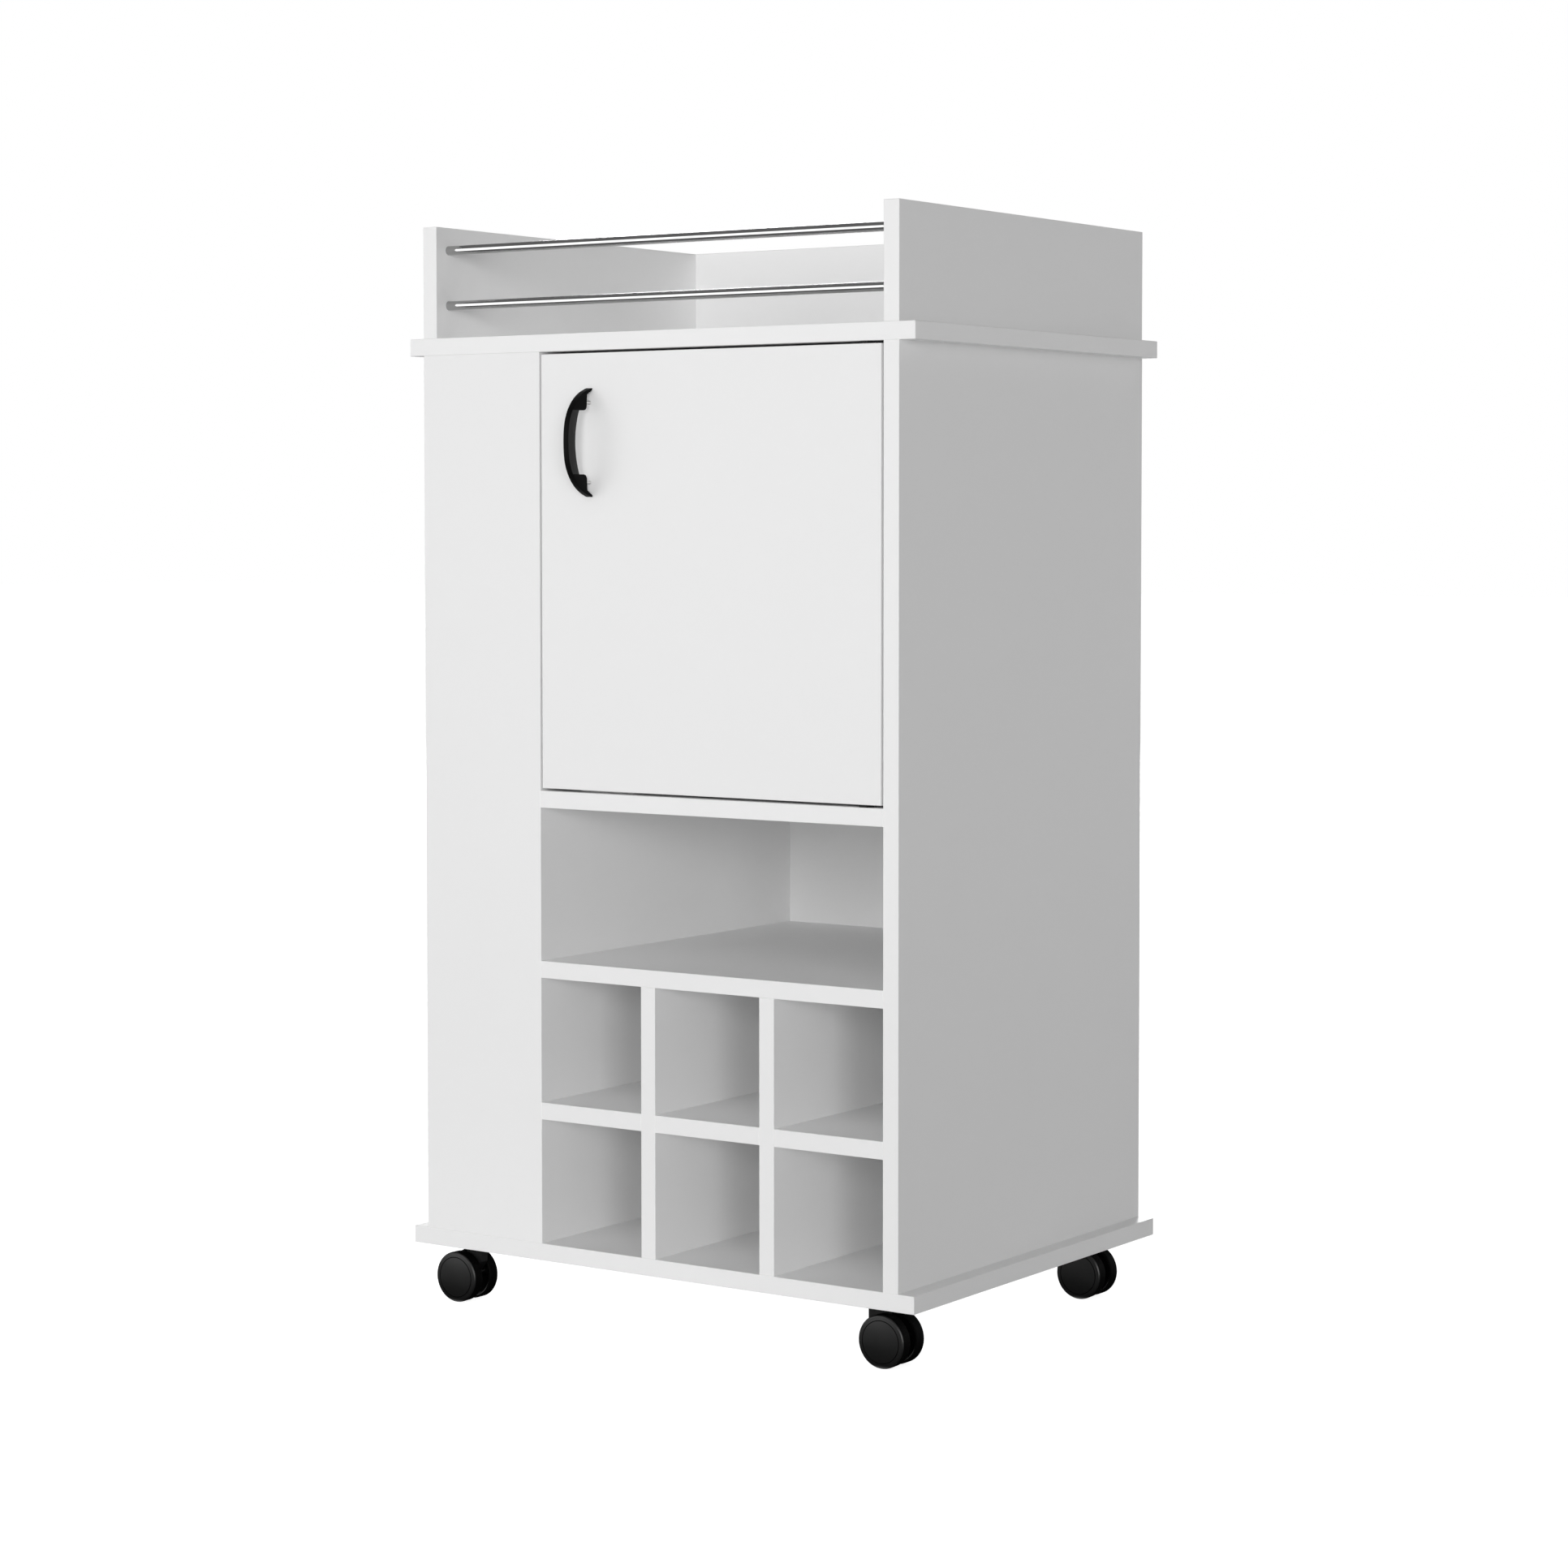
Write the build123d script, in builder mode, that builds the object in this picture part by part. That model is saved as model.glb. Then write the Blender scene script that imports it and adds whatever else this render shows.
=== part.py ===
# Bar cart of white melamine board on casters: gallery tray, cupboard, open shelf, bottle cubbies and side bay
# Frame: origin on the floor under the middle of the overall box, +X right, +Y to the rear, +Z up, millimetres

import os
from math import sqrt

from build123d import *

os.makedirs("parts", exist_ok=True)

# Boards and the heights of the spaces between them
board = 15.0
hardboard = 3.0
body_width = 500.0
body_depth = 402.0
overhang = 15.5  # base and top board past each side of the body
bay_width = 130.0  # fixed front panel at the left
cubby_height = 109.0
open_shelf_height = 133.5
cupboard_height = 379.5
rail_height = 98.0
back_recess = 17.5  # back panel in from the rear edges
groove_depth = 5.0
groove_play = 0.1
edge_break = 0.4  # broken edges of a board

# Gallery rods
rod_radius = 4.0
rod_setback = 17.0  # rod axis behind the front edges
rod_heights = (29.5, 78.0)  # rod axes above the tray floor
rod_seat = 8.0  # rod end in its blind hole

# Door on pivot pins, with its catch
door_gap = 2.2
pivot_inset = 18.0  # pivot axis from the door's hinge edge
pivot_radius = 3.0
pivot_in_door = 22.0
pivot_in_bush = 8.0
bush_radius = 5.0
bush_flange_radius = 7.5
bush_floor = 1.5
thrust_gap = 0.2  # door edge to the bush flange that carries it
catch_x = -59.0
catch_length = 38.0
catch_width = 13.0
catch_wall = 1.5
magnet_height = 6.0
pole_length = 12.0
pole_thickness = 1.5
pole_proud = 1.0
strike_thickness = 1.0
strike_length = 26.0
strike_corner = 2.0
strike_head_room = 0.5  # head of the strike's screw to the poles beside it

# Bow handle
handle_length = 93.0
handle_projection = 33.0
handle_width = 6.0
handle_thickness = 9.9
crown_width = 24.0  # flatter middle of the bow
crown_radius = 100.0
grip_rise = 5.5  # inside of the bow from the bosses to its middle
handle_x = -65.0
handle_below_top = 78.8  # handle centre under the top board
boss_inset = 12.5  # screw axis from each tip
boss_length = 13.5
boss_gap = 7.0  # bosses to the door, which only the tips bear on
boss_corner = 4.0
tip_land = 1.5  # foot of each tip on the door
handle_edge = 1.0
handle_screw_bite = 8.0

# Casters
wheel_radius = 22.5
wheel_width = 12.9
wheel_gap = 10.0  # between the two wheels
wheel_shoulder = 4.4  # along the radius
shoulder_depth = 3.4
wheel_rim = 3.4
wheel_web = 3.6
hub_radius = 6.0
axle_radius = 2.5
axle_hold = 9.4  # axle end inside each wheel
trail = 12.6
head_room = 4.7  # wheel top to the plate
neck_radius = 7.0
neck_depth = 13.0
axle_boss_radius = 8.0
wheel_play = 0.6
king_pin_radius = 3.0
king_pin_length = 13.0
plate_size = 34.0
plate_thickness = 2.0
plate_corner = 6.0
plate_screw_edge = 5.5  # screw axis from the plate's edge
plate_screw_sides = 4  # facets of the sixteen plate screws and their bores
plate_head_height = 1.0
caster_inset = 36.0  # swivel axis in from the body's side
caster_front = 26.4  # swivel axis behind the front edges
caster_rear = 52.2  # swivel axis ahead of the rear edges

# Board fasteners
fastener_sides = 6  # facets of the hidden fasteners and their bores
fit_gap = 0.05  # round a fastener in its bore
running_gap = 0.05  # round a turning pin
clear_gap = 0.3  # between faces that move past each other
fastener_inset = 60.0
dowel_radius = 4.0
dowel_bite = 10.0  # into a board's face
dowel_hold = 15.0  # into a board's edge
bay_dowel_inset = 32.0
rail_dowel_inset = 100.0
back_rail_dowel_x = 150.0
cam_radius = 7.5
cam_depth = 12.0
cam_reach = 24.0  # cam axis from the joint
cam_slot = 1.6
cam_bolt_radius = 3.0
cam_bolt_bite = 10.0
euro_radius = 3.5
euro_length = 50.0
euro_head_radius = 5.0
euro_head_height = 3.0
small_screw_radius = 1.75
small_head_radius = 3.5
small_head_height = 1.8
small_screw_bite = 11.0

# Planes and levels that the sizes above give
left = -body_width / 2
right = body_width / 2
front = (handle_projection - body_depth) / 2
rear = front + body_depth
base_z = 2 * wheel_radius + head_room + plate_thickness
base_top = base_z + board
cubby_shelf_z = base_top + cubby_height
open_floor_z = cubby_shelf_z + board + cubby_height
cupboard_floor_z = open_floor_z + board + open_shelf_height
top_z = cupboard_floor_z + board + cupboard_height
tray_z = top_z + board
rail_top = tray_z + rail_height
opening_left = left + bay_width
opening_right = right - board
wall_left = opening_left - board
back_face = rear - back_recess - hardboard
plate_z = base_z - plate_thickness
cubby_columns = ("left", "middle", "right")
cubby_width = (opening_right - opening_left + board) / len(cubby_columns) - board
divider_lefts = [opening_left + i * (cubby_width + board) - board for i in range(1, len(cubby_columns))]
door_left = opening_left + door_gap
door_right = opening_right - door_gap
door_low = cupboard_floor_z + board + door_gap
door_high = top_z - door_gap
pivot_x = door_right - pivot_inset
pivot_y = front + board / 2
handle_z = top_z - handle_below_top
handle_screw_spacing = handle_length - 2 * boss_inset
low_corner = (Align.MIN, Align.MIN, Align.MIN)
on_end = (Align.CENTER, Align.CENTER, Align.MIN)
front_foot = (Align.CENTER, Align.MIN, Align.MIN)

pieces = {}
bores = []


def stepped(*steps, sides=fastener_sides, play=0.0):
    # Straight form along +Z from the origin: radius and length of each step, round where sides is 0
    level = 0.0
    with BuildPart() as form:
        for radius, length in steps:
            with BuildSketch(Plane.XY.offset(level)):
                if sides:
                    RegularPolygon(radius + play, sides)
                else:
                    Circle(radius + play)
            level += length
            extrude(amount=length)
    return form.part


def facing(point, direction):
    return Plane(origin=point, z_dir=direction).location


def group(form, places):
    with BuildPart() as copies:
        with Locations(*places):
            add(form)
    return copies


def drill(places, *steps, sides=fastener_sides):
    bore = stepped(*steps, (steps[-1][0], fit_gap), sides=sides, play=fit_gap)
    bores.extend(bore.moved(place) for place in places)


def cut_bores(piece):
    limits = piece.part.bounding_box()
    add([bore for bore in bores if bore.bounding_box().overlaps(limits)], mode=Mode.SUBTRACT)


def board_panel(x, y, z, edged="front", groove=None):
    # Rectangular board between the given limits, its edges broken at the front or all round,
    # with its groove and the bores of the fasteners that reach it
    with BuildPart() as panel:
        with BuildSketch(Plane.XY.offset(z[0])):
            with Locations((sum(x) / 2, sum(y) / 2)):
                Rectangle(x[1] - x[0], y[1] - y[0])
        extrude(amount=z[1] - z[0])
        if edged == "front":
            chamfer(panel.faces().sort_by(Axis.Y)[0].edges(), edge_break)
        elif edged == "round":
            chamfer(panel.edges(), edge_break)
        if groove:
            low, high = groove
            with Locations(low):
                Box(*[b - a for a, b in zip(low, high)], align=low_corner, mode=Mode.SUBTRACT)
        cut_bores(panel)
    return panel


# Long screws up through the base board into the uprights, their heads sunk flush
euro_spots = [(x + board / 2, (front + back_face) / 2) for x in divider_lefts]
for y in (front + fastener_inset, rear - fastener_inset):
    euro_spots += [(opening_right + board / 2, y), (wall_left + board / 2, y)]
for y in (front + board / 2, rear - board / 2):
    euro_spots.append((wall_left - bay_dowel_inset, y))
euro_places = [Location((x, y, base_z)) for x, y in euro_spots]
euro_steps = ((euro_head_radius, euro_head_height), (euro_radius, euro_length - euro_head_height))
pieces["euro_screws"] = group(stepped(*euro_steps), euro_places)
drill(euro_places, *euro_steps)

# Cam locks near the front, in the undersides of the two floors and in the uprights under the top board
cam_y = front + fastener_inset
bolt_places = []
cam_places = []
for floor_z in (open_floor_z, cupboard_floor_z):
    for x, side in ((opening_left, 1), (opening_right, -1)):
        bolt_places.append(facing((x - side * cam_bolt_bite, cam_y, floor_z + board / 2), (side, 0, 0)))
        cam_places.append(Location((x + side * cam_reach, cam_y, floor_z)))
for x in (wall_left, opening_right):
    bolt_places.append(facing((x + board / 2, cam_y, top_z + cam_bolt_bite), (0, 0, -1)))
    cam_places.append(facing((x, cam_y, top_z - cam_reach), (1, 0, 0)))
bolt_step = (cam_bolt_radius, cam_bolt_bite + cam_reach)
pieces["cam_bolts"] = group(stepped(bolt_step), bolt_places)
drill(bolt_places, bolt_step)
cam_step = (cam_radius, cam_depth)
with BuildPart() as cam_locks:
    with Locations(*cam_places):
        add(stepped(cam_step))
        Box(cam_radius, cam_slot, 2 * cam_slot, mode=Mode.SUBTRACT)
    cut_bores(cam_locks)
pieces["cam_locks"] = cam_locks
drill(cam_places, cam_step)

# Dowels at the rear of the floors and top board, through the cubby dividers, in the bay and under the gallery
joint_length = dowel_bite + dowel_hold
short_places = []
dowel_y = back_face - fastener_inset
for x, side in ((opening_left, 1), (opening_right, -1)):
    for shelf_z in (cubby_shelf_z, open_floor_z, cupboard_floor_z):
        short_places.append(facing((x - side * dowel_bite, dowel_y, shelf_z + board / 2), (side, 0, 0)))
for x in (wall_left, opening_right):
    short_places.append(Location((x + board / 2, dowel_y, top_z - dowel_hold)))
bay_x = (left + wall_left) / 2
for y, side in ((front + board, 1), (rear - board, -1)):
    panel_middle = y - side * board / 2
    short_places.append(facing((bay_x, y - side * dowel_bite, cupboard_floor_z + board / 2), (0, side, 0)))
    short_places.append(Location((bay_x, panel_middle, top_z - dowel_hold)))
wall_x = wall_left + board / 2
short_places.append(facing((wall_x, front + board - dowel_bite, open_floor_z), (0, 1, 0)))
short_places.append(facing((wall_left + dowel_bite, rear - board / 2, open_floor_z), (-1, 0, 0)))
for side in (-1, 1):
    x = side * (right - board / 2)
    for y in (front + rail_dowel_inset, rear - rail_dowel_inset):
        short_places.append(Location((x, y, tray_z - dowel_bite)))
    short_places.append(Location((side * back_rail_dowel_x, rear - board / 2, tray_z - dowel_bite)))
short_step = (dowel_radius, joint_length)
long_step = (dowel_radius, board + 2 * dowel_hold)
long_places = [facing((x - dowel_hold, dowel_y, cubby_shelf_z + board / 2), (1, 0, 0)) for x in divider_lefts]
with BuildPart() as dowels:
    with Locations(*short_places):
        add(stepped(short_step))
    with Locations(*long_places):
        add(stepped(long_step))
pieces["dowels"] = dowels
drill(short_places, short_step)
drill(long_places, long_step)

# Pivot pins in the door's edges, turning in flanged bushes under the top board and in the cupboard floor
flange_thickness = door_gap - thrust_gap
pin_length = pivot_in_door + door_gap + pivot_in_bush
bush_depth = pivot_in_bush + bush_floor
pin_places = [
    facing((pivot_x, pivot_y, door_low + pivot_in_door), (0, 0, -1)),
    facing((pivot_x, pivot_y, door_high - pivot_in_door), (0, 0, 1)),
]
bush_places = [
    facing((pivot_x, pivot_y, cupboard_floor_z + board + flange_thickness), (0, 0, -1)),
    facing((pivot_x, pivot_y, top_z - flange_thickness), (0, 0, 1)),
]
pin_step = (pivot_radius, pin_length)
pieces["pivot_pins"] = group(stepped(pin_step, sides=0), pin_places)
drill(pin_places, pin_step, sides=0)
bush_steps = ((bush_flange_radius, flange_thickness), (bush_radius, bush_depth))
with BuildPart() as bush:
    add(stepped(*bush_steps))
    socket_depth = flange_thickness + pivot_in_bush + clear_gap
    Cylinder(pivot_radius + running_gap, socket_depth, align=on_end, mode=Mode.SUBTRACT)
pieces["pivot_bushes"] = group(bush.part, bush_places)
drill(bush_places, (bush_radius, flange_thickness + bush_depth))

# Small screws of the catch, its strike plate and the handle
floor_top = cupboard_floor_z + board
catch_front = front + board + strike_thickness + clear_gap
catch_ear = 2 * (small_head_radius + catch_wall)
catch_screw_x = (catch_length + catch_ear) / 2
catch_screw_y = catch_front + pole_proud + catch_width / 2
pocket_height = magnet_height + 2 * pole_thickness
catch_height = pocket_height + 2 * catch_wall
strike_z = floor_top + catch_height / 2
small_shank = (small_screw_radius, small_screw_bite)
small_head = (small_head_radius, small_head_height)
strike_head = (magnet_height / 2 - strike_head_room, pole_proud)
handle_shank = (small_screw_radius, board + boss_gap + handle_screw_bite)
catch_places = []
handle_places = []
for side in (-1, 1):
    catch_head = (catch_x + side * catch_screw_x, catch_screw_y, floor_top + catch_wall + small_head_height)
    catch_places.append(facing(catch_head, (0, 0, -1)))
    handle_head = (handle_x, front + board + small_head_height, handle_z + side * handle_screw_spacing / 2)
    handle_places.append(facing(handle_head, (0, -1, 0)))
pieces["catch_screws"] = group(stepped(small_head, small_shank), catch_places)
drill(catch_places, small_head, small_shank)
pieces["handle_screws"] = group(stepped(small_head, handle_shank), handle_places)
drill(handle_places, small_head, handle_shank)
strike_place = facing((catch_x, front + board + strike_thickness + pole_proud, strike_z), (0, -1, 0))
pieces["strike_screw"] = group(stepped(strike_head, small_shank), [strike_place])
drill([strike_place], strike_head, small_shank)

# Casters by corner: the swivel axis, and the side that the wheels trail to
corners = {
    "front_left": (left + caster_inset, front + caster_front, -1),
    "front_right": (right - caster_inset, front + caster_front, 1),
    "rear_left": (left + caster_inset, rear - caster_rear, -1),
    "rear_right": (right - caster_inset, rear - caster_rear, 1),
}
half_spacing = plate_size / 2 - plate_screw_edge
plate_screw_places = [
    Location((x + dx, y + dy, plate_z - plate_head_height))
    for x, y, side in corners.values()
    for dx in (-half_spacing, half_spacing)
    for dy in (-half_spacing, half_spacing)
]
plate_head = (small_head_radius, plate_head_height)
plate_screw = stepped(plate_head, small_shank, sides=plate_screw_sides)
pieces["caster_screws"] = group(plate_screw, plate_screw_places)
drill(plate_screw_places, plate_head, small_shank, sides=plate_screw_sides)

# Base and top board, grooved for the back panel
groove_y = (back_face - groove_play, back_face + hardboard + groove_play)
groove_x = (opening_left - groove_depth, opening_right + groove_depth)
wide = (left - overhang, right + overhang)
deep = (front, rear)
pieces["base_board"] = board_panel(
    wide,
    deep,
    (base_z, base_top),
    edged="round",
    groove=((groove_x[0], groove_y[0], base_top - groove_depth), (groove_x[1], groove_y[1], base_top)),
)
pieces["top_board"] = board_panel(
    wide,
    deep,
    (top_z, tray_z),
    edged="round",
    groove=((groove_x[0], groove_y[0], top_z), (groove_x[1], groove_y[1], top_z + groove_depth)),
)

# Uprights, the bay's panels and its shelf
upright = (base_top, top_z)
pieces["right_side_panel"] = board_panel(
    (opening_right, right),
    deep,
    upright,
    groove=((opening_right, groove_y[0], base_top), (opening_right + groove_depth, groove_y[1], top_z)),
)
pieces["bay_wall"] = board_panel(
    (wall_left, opening_left),
    (front + board, rear),
    upright,
    edged=None,
    groove=((opening_left - groove_depth, groove_y[0], base_top), (opening_left, groove_y[1], top_z)),
)
pieces["bay_front_panel"] = board_panel((left, opening_left), (front, front + board), upright)
pieces["bay_rear_panel"] = board_panel((left, wall_left), (rear - board, rear), upright, edged=None)
pieces["bay_shelf"] = board_panel(
    (left, wall_left),
    (front + board, rear - board),
    (cupboard_floor_z, cupboard_floor_z + board),
    edged=None,
)

# Floors of the cupboard and the open shelf, and the bottle cubbies under them
opening = (opening_left, opening_right)
inside = (front, back_face)
pieces["cupboard_floor"] = board_panel(opening, inside, (cupboard_floor_z, cupboard_floor_z + board))
pieces["open_shelf_floor"] = board_panel(opening, inside, (open_floor_z, open_floor_z + board))
for name, x in zip(("left", "right"), divider_lefts):
    pieces[f"cubby_divider_{name}"] = board_panel((x, x + board), inside, (base_top, open_floor_z))
for i, name in enumerate(cubby_columns):
    x = opening_left + i * (cubby_width + board)
    shelf_z = (cubby_shelf_z, cubby_shelf_z + board)
    pieces[f"cubby_shelf_{name}"] = board_panel((x, x + cubby_width), inside, shelf_z)

# Back panel of hardboard, held in the grooves
panel_reach = groove_depth - groove_play
with BuildPart() as back_panel:
    with BuildSketch(Plane.XZ.offset(-back_face - hardboard)):
        with Locations(((opening_left + opening_right) / 2, (base_top + top_z) / 2)):
            Rectangle(opening_right - opening_left + 2 * panel_reach, top_z - base_top + 2 * panel_reach)
    extrude(amount=hardboard)
pieces["back_panel"] = back_panel

# Gallery: side rails with blind holes for the rods, and the back rail between them
rod_end = opening_right + rod_seat
rod_places = [facing((rod_end, front + rod_setback, tray_z + height), (-1, 0, 0)) for height in rod_heights]
rod_step = (rod_radius, 2 * rod_end)
for name, place in zip(("lower", "upper"), rod_places):
    pieces[f"gallery_rod_{name}"] = group(stepped(rod_step, sides=0), [place])
drill(rod_places, rod_step, sides=0)
rail_z = (tray_z, rail_top)
rail_x = (-opening_right, opening_right)
pieces["gallery_left_rail"] = board_panel((left, rail_x[0]), deep, rail_z, edged="round")
pieces["gallery_right_rail"] = board_panel((rail_x[1], right), deep, rail_z, edged="round")
pieces["gallery_back_rail"] = board_panel(rail_x, (rear - board, rear), rail_z, edged="round")

# Door
pieces["door"] = board_panel((door_left, door_right), (front, front + board), (door_low, door_high))

# Handle: a bow with a flat crown and round shoulders that stands on its tips, cut out behind the grip and
# round the two screw bosses, drawn on its middle plane
handle_plane = Plane(origin=(handle_x, front, handle_z), x_dir=(0, 0, 1), z_dir=(1, 0, 0))
half_length = handle_length / 2
half_crown = crown_width / 2
crown_end = handle_projection - crown_radius + sqrt(crown_radius**2 - half_crown**2)
boss_in = (handle_screw_spacing - boss_length) / 2
boss_out = (handle_screw_spacing + boss_length) / 2
grip_inside = handle_projection - handle_thickness
grip_end = grip_inside - grip_rise
with BuildPart() as handle:
    with BuildSketch(handle_plane):
        with BuildLine():
            crown = ThreePointArc((-half_crown, crown_end), (0, handle_projection), (half_crown, crown_end))
            TangentArc(crown @ 1, (half_length, 0), tangent=crown % 1)
            TangentArc(crown @ 0, (-half_length, 0), tangent=-(crown % 0))
            Line((-half_length, 0), (half_length, 0))
        make_face()
    extrude(amount=handle_width / 2, both=True)
    chamfer(handle.edges().filter_by(GeomType.CIRCLE), handle_edge)
    with BuildSketch(handle_plane):
        with BuildLine():
            for side in (-1, 1):
                FilletPolyline(
                    (side * (half_length - tip_land), 0),
                    (side * boss_out, boss_gap),
                    (side * boss_in, boss_gap),
                    (side * boss_in, grip_end),
                    radius=(0, boss_corner),
                )
            ThreePointArc((-boss_in, grip_end), (0, grip_inside), (boss_in, grip_end))
            Line((tip_land - half_length, 0), (half_length - tip_land, 0))
        make_face()
    extrude(amount=handle_width, both=True, mode=Mode.SUBTRACT)
    cut_bores(handle)
pieces["handle"] = handle

# Magnetic catch: housing with a pocket for the magnet between two steel poles, and the door's strike plate
pocket_depth = catch_width - catch_wall
housing_front = catch_front + pole_proud
with BuildPart() as catch_housing:
    with Locations((catch_x, housing_front, floor_top)):
        Box(catch_length + 2 * catch_ear, catch_width, catch_wall, align=front_foot)
        Box(catch_length, catch_width, catch_height, align=front_foot)
    with Locations((catch_x, housing_front, floor_top + catch_wall)):
        Box(pole_length, pocket_depth, pocket_height, align=front_foot, mode=Mode.SUBTRACT)
    chamfer(catch_housing.faces().sort_by(Axis.Z)[-1].edges().filter_by(Axis.Y), catch_wall / 2)
    cut_bores(catch_housing)
pieces["catch_housing"] = catch_housing
with BuildPart() as catch_poles:
    for level in (catch_wall, catch_wall + pole_thickness + magnet_height):
        with Locations((catch_x, catch_front, floor_top + level)):
            Box(pole_length, pole_proud + pocket_depth, pole_thickness, align=front_foot)
pieces["catch_poles"] = catch_poles
with BuildPart() as catch_magnet:
    with Locations((catch_x, housing_front, floor_top + catch_wall + pole_thickness)):
        Box(pole_length, pocket_depth, magnet_height, align=front_foot)
pieces["catch_magnet"] = catch_magnet
with BuildPart() as strike_plate:
    with BuildSketch(Plane.XZ.offset(-front - board)) as strike:
        with Locations((catch_x, strike_z)):
            Rectangle(strike_length, pocket_height)
        chamfer(strike.vertices(), strike_corner)
    extrude(amount=-strike_thickness)
    cut_bores(strike_plate)
pieces["strike_plate"] = strike_plate

# Caster plates, each with its king pin riveted in
with BuildPart() as caster_plates:
    with BuildSketch(Plane.XY.offset(plate_z)) as plate_outline:
        with Locations(*[(x, y) for x, y, side in corners.values()]):
            Rectangle(plate_size, plate_size)
        chamfer(plate_outline.vertices(), plate_corner)
    extrude(amount=plate_thickness)
    with BuildSketch(Plane.XY.offset(plate_z)):
        with Locations(*[(x, y) for x, y, side in corners.values()]):
            Circle(king_pin_radius)
    extrude(amount=-king_pin_length)
    cut_bores(caster_plates)
pieces["caster_plates"] = caster_plates

# Fork: one web between the wheels, from the axle boss up to a round neck that turns on the king pin
web_thickness = wheel_gap - 2 * wheel_play
neck_top = plate_z - clear_gap
with BuildPart() as fork:
    with BuildSketch(Plane.XZ):
        with Locations((trail, wheel_radius)):
            Circle(axle_boss_radius)
        with Locations((0, neck_top - neck_depth / 2)):
            Rectangle(2 * neck_radius, neck_depth)
        make_hull()
    extrude(amount=web_thickness / 2, both=True)
    with BuildSketch(Plane.XY.offset(2 * wheel_radius + wheel_play)):
        Circle(neck_radius)
    extrude(amount=neck_top - 2 * wheel_radius - wheel_play)
    with Locations((0, 0, plate_z - king_pin_length - clear_gap)):
        Cylinder(king_pin_radius + running_gap, king_pin_length, align=on_end, mode=Mode.SUBTRACT)
    with Locations(Location((trail, 0, wheel_radius), (90, 0, 0))):
        Cylinder(axle_radius + fit_gap, wheel_gap, mode=Mode.SUBTRACT)

# Wheel: a cup with its hub on the hollow side towards the fork
wheel_in = wheel_gap / 2
wheel_out = wheel_in + wheel_width
rim_in = wheel_radius - wheel_rim
hollow = wheel_out - wheel_web
bore = axle_radius + running_gap
bore_end = wheel_in + axle_hold + clear_gap
with BuildPart() as wheel:
    with BuildSketch(Plane.XY):
        with BuildLine():
            Polyline(
                (rim_in, hollow),
                (rim_in, wheel_in),
                (wheel_radius, wheel_in),
                (wheel_radius, wheel_out - shoulder_depth),
                (wheel_radius - wheel_shoulder, wheel_out),
                (0, wheel_out),
                (0, bore_end),
                (bore, bore_end),
                (bore, wheel_in),
                (hub_radius, wheel_in),
                (hub_radius, hollow),
                close=True,
            )
        make_face()
    revolve(axis=Axis.Y)
axle_length = wheel_gap + 2 * axle_hold
with BuildPart() as axle:
    Cylinder(axle_radius, axle_length, rotation=(90, 0, 0))
for corner, (x, y, side) in corners.items():
    wheel_x = x + side * trail
    pieces[f"{corner}_fork"] = group(fork.part, [Location((x, y, 0), (0, 0, 0 if side > 0 else 180))])
    pieces[f"{corner}_axle"] = group(axle.part, [Location((wheel_x, y, wheel_radius))])
    pieces[f"{corner}_wheel_fore"] = group(wheel.part, [Location((wheel_x, y, wheel_radius), (0, 0, 180))])
    pieces[f"{corner}_wheel_aft"] = group(wheel.part, [Location((wheel_x, y, wheel_radius))])

for name, piece in pieces.items():
    piece.part.label = name
    export_step(piece.part, f"parts/{name}.step")
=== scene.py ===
from math import asin, atan2, cos, degrees, pi, radians, sin, sqrt

import bmesh
import bpy
from mathutils import Matrix, Vector


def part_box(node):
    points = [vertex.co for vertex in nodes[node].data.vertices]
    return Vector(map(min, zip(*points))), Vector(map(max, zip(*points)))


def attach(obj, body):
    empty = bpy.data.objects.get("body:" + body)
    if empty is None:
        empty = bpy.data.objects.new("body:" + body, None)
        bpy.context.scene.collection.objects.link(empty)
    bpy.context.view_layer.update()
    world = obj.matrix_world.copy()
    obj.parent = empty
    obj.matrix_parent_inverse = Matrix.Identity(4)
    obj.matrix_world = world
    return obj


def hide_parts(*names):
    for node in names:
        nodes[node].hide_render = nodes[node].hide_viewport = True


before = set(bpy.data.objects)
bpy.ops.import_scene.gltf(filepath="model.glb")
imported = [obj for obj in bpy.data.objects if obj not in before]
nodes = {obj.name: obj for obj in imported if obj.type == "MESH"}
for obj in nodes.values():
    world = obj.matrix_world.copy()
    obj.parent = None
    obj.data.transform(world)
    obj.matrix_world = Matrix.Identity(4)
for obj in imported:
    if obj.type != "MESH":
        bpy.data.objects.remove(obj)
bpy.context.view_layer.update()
scene = bpy.context.scene
cornerNames = ("front_left", "front_right", "rear_left", "rear_right")
print("frame loaded:", len(nodes), "nodes")


# Node trees: groups that several finishes share, each with named inputs and outputs

def startGroup(name, inputs, outputs):
    group = bpy.data.node_groups.new(name, "ShaderNodeTree")
    for label, kind, value in inputs:
        socket = group.interface.new_socket(label, in_out="INPUT", socket_type=kind)
        socket.default_value = value
    for label, kind in outputs:
        group.interface.new_socket(label, in_out="OUTPUT", socket_type=kind)
    return group, group.nodes.new("NodeGroupInput").outputs, group.nodes.new("NodeGroupOutput").inputs


# A socket is linked where the value comes from a node and set where it is constant
def feed(tree, socket, value):
    if isinstance(value, bpy.types.NodeSocket):
        tree.links.new(value, socket)
    else:
        socket.default_value = value


def addNode(tree, kind, settings=None, **sockets):
    node = tree.nodes.new(kind)
    for key, value in (settings or {}).items():
        setattr(node, key, value)
    for label, value in sockets.items():
        feed(tree, node.inputs[label.replace("_", " ")], value)
    return node


def mathNode(tree, operation, first, second):
    node = addNode(tree, "ShaderNodeMath", {"operation": operation})
    for socket, value in zip(node.inputs, (first, second)):
        feed(tree, socket, value)
    return node.outputs[0]


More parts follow.
